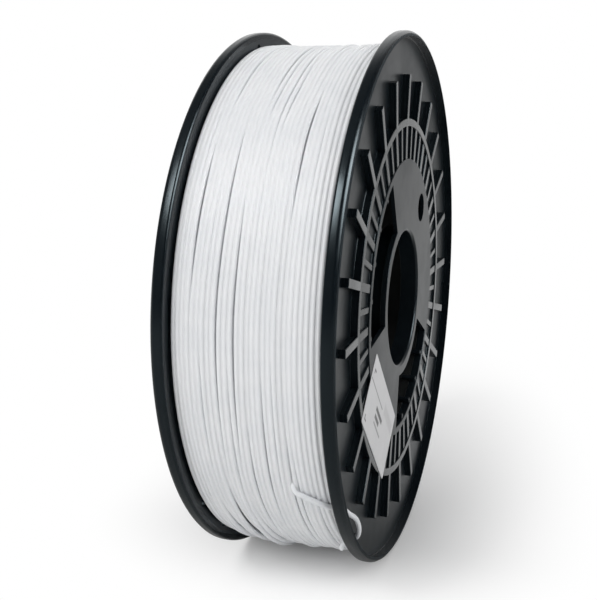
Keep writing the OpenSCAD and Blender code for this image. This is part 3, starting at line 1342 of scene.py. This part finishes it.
@dataclass(frozen=True)
class Studio:
    """Pale floor, white surroundings, soft lamps and the camera.

    The black plastic mirrors the floor and the surroundings in their own way: white behind the object, dimmer
    past the backdrop's edge and in front, and one bright softbox on the right. The numbers for it are
    brightnesses, where 1 is white, and headings, which are parts of a direction of length 1.

    Attributes:
        floor_z: Height of the floor.
        camera_place: The camera's place.
        camera_right: Direction of the picture's right side.
        camera_ahead: Direction of view.
        lens: Focal length in millimetres for a picture 36 mm high.
        ambient: Brightness of the surroundings as the lamp that they are.
        front_mirror: Mirrored brightness of the surroundings in front.
        back_headings: Y headings between which the surroundings turn from front to back.
        side_mirror: Mirrored brightness of the surroundings past the backdrop's edge.
        back_edge: X headings between which the backdrop ends.
        strip_heading: Direction of the mirrored softbox.
        strip_mirror: Its brightness.
        strip_edge: Cosines to its direction between which it begins.
        paper: Colour of the floor.
        front_paper: Its mirrored colour in front of the object and past the backdrop's edge.
        back_floor: Y places between which the mirrored floor turns white.
        back_eye: X and Y of the place on the object from which the backdrop's edge is taken on the floor.
        shadow_reach: Distances from the axis between which the floor fades to white.
        shadow_stretch: Factors on the distance behind the object and in front of it.
    """

    floor_z: float
    camera_place: Triple = (0.106044, -0.358153, 0.080855)
    camera_right: Triple = (0.94778, 0.31893, 0)
    camera_ahead: Triple = (-0.31121, 0.92482, -0.21877)
    lens: float = 57.74
    ambient: float = 0.6
    front_mirror: float = 0.15
    back_headings: Span = (0.45, 0.85)
    side_mirror: float = 0.3
    back_edge: Span = (0.22, 0.27)
    strip_heading: Triple = (0.80, -0.12, 0.59)
    strip_mirror: float = 14.0
    strip_edge: Span = (0.93, 0.985)
    paper: Colour = (0.93, 0.93, 0.93)
    front_paper: Colour = (0.45, 0.45, 0.44)
    back_floor: Span = (-0.02, 0.08)
    back_eye: Span = (0.028, -0.09)
    shadow_reach: Span = (0.015, 0.11)
    shadow_stretch: Span = (0.35, -1.4)

    def build(self) -> None:
        """Builds everything round the object."""
        self.camera()
        self.floor()
        self.world()
        self.lamp("high_softbox", (-0.42, -0.85, 0.98), 0.4, 8.0)
        self.lamp("side_softbox", (0.95, 0.1, 0.6), 0.35, 2.0)

    def camera(self) -> None:
        """Camera at its place, with its own axes as the columns of its matrix."""
        data = bpy.data.cameras.new("camera")
        data.sensor_fit = "VERTICAL"
        data.sensor_height = 36
        data.lens = self.lens
        data.clip_start = 0.01
        camera = bpy.data.objects.new("camera", data)
        ahead = Vector(self.camera_ahead).normalized()
        right = Vector(self.camera_right).normalized()
        turn = Matrix((right, right.cross(ahead), -ahead)).transposed().to_4x4()
        camera.matrix_world = Matrix.Translation(self.camera_place) @ turn
        bpy.context.scene.collection.objects.link(camera)
        bpy.context.scene.camera = camera

    def floor(self) -> None:
        """Round floor that takes the object's shadow near it and fades to white away from it."""
        angle = 2 * math.pi * np.arange(96) / 96
        radius = np.array([0.02, 0.3, 1.0, 4.0])[:, None]
        x, y = radius * np.cos(angle), radius * np.sin(angle)
        rings = np.stack(np.broadcast_arrays(x, y, self.floor_z), -1)
        faces = grid_faces(*rings.shape[:2], joined=False)
        faces.append(list(range(len(angle))))
        obj = mesh_object("floor", (rings.reshape(-1, 3), faces))
        obj.data.materials.append(self.floor_material())

    def floor_material(self) -> bpy.types.Material:
        """Paper that gives way to plain white light where the camera and the mirror images show it far away.

        Returns:
            The material.
        """
        material = bpy.data.materials.new("pale_floor")
        graph = Graph.bare(material)
        place = graph.parts(graph.add("ShaderNodeTexCoord").outputs["Object"])
        path = graph.add("ShaderNodeLightPath").outputs
        behind, ahead = (graph.maths("MULTIPLY", place["Y"], stretch) for stretch in self.shadow_stretch)
        flat = graph.add("ShaderNodeCombineXYZ", in_X=place["X"], in_Y=graph.maths("MAXIMUM", behind, ahead))
        far = graph.remap(graph.vectors("LENGTH", flat.outputs[0]), self.shadow_reach, 0.0, 1.0)
        sideways = graph.maths("DIVIDE", graph.maths("SUBTRACT", place["X"], self.back_eye[0]),
                               graph.maths("SUBTRACT", place["Y"], self.back_eye[1]))
        back = graph.maths("MULTIPLY", graph.remap(place["Y"], self.back_floor, 0.0, 1.0),
                           graph.remap(sideways, self.back_edge, 1.0, 0.0))
        mirrored = graph.maths("MULTIPLY", back, path["Is Glossy Ray"])
        dimmed = graph.maths("SUBTRACT", path["Is Glossy Ray"], mirrored)
        seen = graph.maths("MAXIMUM", mirrored, self.straight(graph, path))
        paper = graph.add("ShaderNodeBsdfDiffuse", in_Color=graph.blend(dimmed, self.paper, self.front_paper))
        glow = graph.add("ShaderNodeEmission", in_Color=(*WHITE, 1), in_Strength=1.0)
        mix = graph.add("ShaderNodeMixShader", in_Fac=graph.maths("MULTIPLY", far, seen))
        graph.join(paper.outputs[0], mix.inputs[1])
        graph.join(glow.outputs[0], mix.inputs[2])
        graph.add("ShaderNodeOutputMaterial", in_Surface=mix.outputs[0])
        return material

    def straight(self, graph: Graph, path: bpy.types.NodeOutputs) -> Socket:
        """1 for a ray from the camera or through something clear, which shows the backdrop itself."""
        return graph.maths("MAXIMUM", path["Is Camera Ray"], path["Is Transmission Ray"])

    def world(self) -> None:
        """White surroundings, which light the object evenly and are mirrored as the class says."""
        world = bpy.data.worlds.new("studio")
        bpy.context.scene.world = world
        graph = Graph.bare(world)
        heading = graph.add("ShaderNodeTexCoord").outputs["Object"]
        path = graph.add("ShaderNodeLightPath").outputs
        parts = graph.parts(heading)
        strip = graph.remap(graph.vectors("DOT_PRODUCT", heading, self.strip_heading), self.strip_edge,
                            0.0, self.strip_mirror)
        back = graph.maths("MULTIPLY", graph.remap(parts["Y"], self.back_headings, self.front_mirror, 1.0),
                           graph.remap(parts["X"], self.back_edge, 1.0, self.side_mirror))
        mirrored = graph.maths("ADD", back, strip)
        strength = graph.add("ShaderNodeMix", data_type="FLOAT")
        for place, value in ((0, path["Is Glossy Ray"]), (2, self.ambient), (3, mirrored)):
            graph.feed(value, strength.inputs[place])
        shown = graph.maths("MAXIMUM", strength.outputs[0], self.straight(graph, path))
        glow = graph.add("ShaderNodeBackground", in_Color=(*WHITE, 1), in_Strength=shown)
        graph.add("ShaderNodeOutputWorld", in_Surface=glow.outputs[0])

    def lamp(self, name: str, place: Triple, size: float, power: float) -> None:
        """Square soft lamp that faces the object.

        Args:
            name: The lamp's name.
            place: Its middle.
            size: Its side.
            power: Its power in watts.
        """
        data = bpy.data.lights.new(name, "AREA")
        data.size = size
        data.energy = power
        lamp = bpy.data.objects.new(name, data)
        turn = Vector(place).to_track_quat("Z", "Y").to_matrix().to_4x4()
        lamp.matrix_world = Matrix.Translation(place) @ turn
        bpy.context.scene.collection.objects.link(lamp)


# ---- the whole scene


def main() -> None:
    """Builds the studio and the spool's assemblies in order, and reports each piece."""
    logging.basicConfig(level=logging.INFO, format="%(message)s")
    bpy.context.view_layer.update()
    bpy.context.scene.view_settings.view_transform = "Standard"
    sizes = SpoolSizes.from_frame()
    Studio(floor_z=sizes.floor_z).build()
    filament = WHITE_FILAMENT.build()
    plastic = BLACK_FLANGE.build()
    _, label_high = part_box("label")
    assemblies = [
        Winding(sizes, filament),
        Tail(sizes, filament),
        Label(face_x=label_high.x - Label.thickness),
        *(Flange(side, sizes, plastic) for side in Side),
        CoreTube(),
    ]
    for assembly in assemblies:
        for piece in assembly.build():
            LOG.info("%s: %d faces", piece.name, len(piece.data.polygons))


if __name__ == "__main__":
    main()
